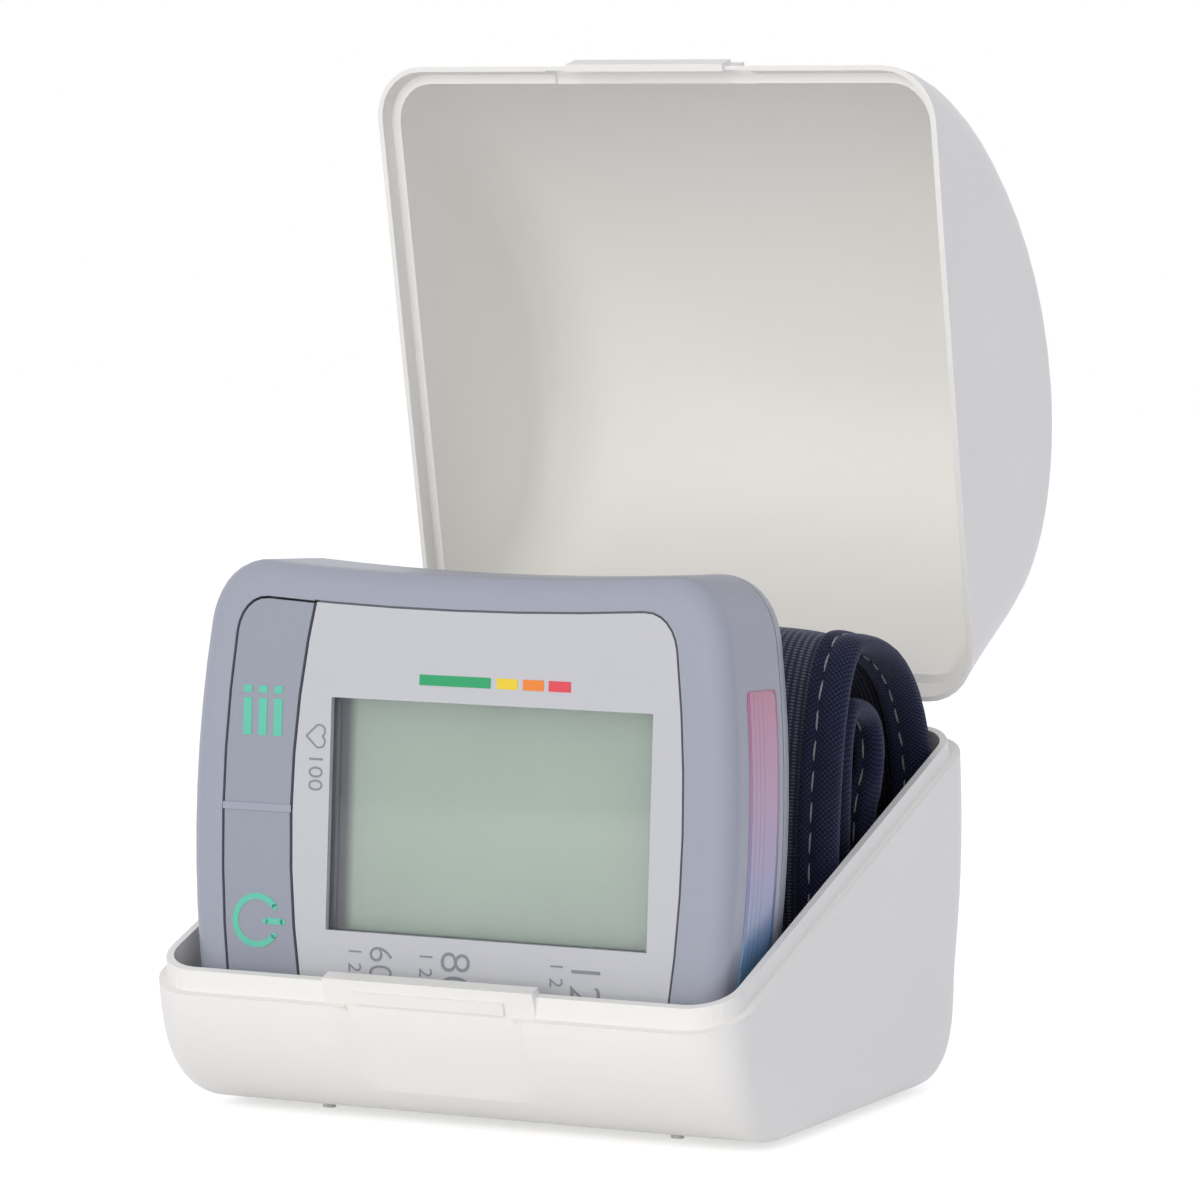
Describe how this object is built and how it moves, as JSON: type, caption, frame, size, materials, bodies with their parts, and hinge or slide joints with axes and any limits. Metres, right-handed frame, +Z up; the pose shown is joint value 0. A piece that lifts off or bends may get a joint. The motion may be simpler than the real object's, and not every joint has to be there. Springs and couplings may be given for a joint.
{
  "type": "wrist blood pressure monitor",
  "caption": "Wrist blood pressure monitor standing in its open hinged storage case: display and push buttons in front, padded wrist cuff folded behind.",
  "frame": {"origin": "on the table under the middle of the whole object's box, with the lid open as pictured", "axes": "+X to the object's right as seen from the display side, +Y from the display to the lid's hinge, +Z up"},
  "size_m": [0.086, 0.1232, 0.1442],
  "materials": {
    "white_case": "satin moulded",
    "grey_housing": "satin painted",
    "panel": "satin",
    "clear_window": "clear acrylic",
    "display_glass": "reflective green display",
    "button": "fine matt",
    "black_plastic": "moulded",
    "soft_rubber": "soft",
    "circuit_board": "coated board",
    "battery_sleeve": "plain sleeve",
    "steel": "plain",
    "brass_body": "plain",
    "grey_knit": "ribbed knit",
    "navy_fabric": "woven with stitched binding"
  },
  "bodies": {
    "case": {"case_base": "white_case"},
    "lid": {"case_lid": "white_case"},
    "monitor": {"front_housing": "grey_housing", "rear_housing": "grey_housing", "display_panel": "panel", "display_window": "clear_window", "lcd_glass": "display_glass", "lcd_frame": "black_plastic", "zebra_strip": "soft_rubber", "memory_switch": "black_plastic", "power_switch": "black_plastic", "circuit_board": "circuit_board", "battery_cell_1": "battery_sleeve", "battery_cell_2": "battery_sleeve", "battery_contact_top": "steel", "battery_contact_bottom": "steel", "pump_motor": "steel", "pump_head": "black_plastic", "exhaust_valve": "brass_body", "pressure_sensor": "black_plastic", "processor_chip": "black_plastic", "buzzer": "black_plastic", "air_tube": "soft_rubber", "cuff_mount": "black_plastic", "cuff_outer_fabric": "grey_knit", "cuff_lining": "navy_fabric", "air_bladder": "soft_rubber", "cuff_binding_left": "navy_fabric", "cuff_binding_right": "navy_fabric", "cuff_tail": "navy_fabric", "hook_patch": "grey_knit", "housing_screw_1": "steel", "housing_screw_2": "steel", "housing_screw_3": "steel", "housing_screw_4": "steel"},
    "memory_button": {"memory_button": "button"},
    "power_button": {"power_button": "button"},
    "battery_door": {"battery_door": "grey_housing"}
  },
  "joints": [
    {"name": "lid_hinge", "type": "hinge", "parent": "case", "child": "lid", "pos_m": [0, 0.02808, 0.0508], "axis": [-1, 0, 0], "range_deg": [-70, 0]},
    {"name": "monitor_lift", "type": "slide", "parent": "case", "child": "monitor", "axis": [0, 0, 1], "range_m": [0, 0.045]},
    {"name": "memory_button_press", "type": "slide", "parent": "monitor", "child": "memory_button", "axis": [0, 0.9993, -0.0384], "range_m": [0, 0.0008], "stiffness_N_per_m": 1500},
    {"name": "power_button_press", "type": "slide", "parent": "monitor", "child": "power_button", "axis": [0, 0.9993, -0.0384], "range_m": [0, 0.0008], "stiffness_N_per_m": 1500},
    {"name": "battery_door_slide", "type": "slide", "parent": "monitor", "child": "battery_door", "axis": [0, 0.9993, -0.0384], "range_m": [0, 0.008]}
  ]
}
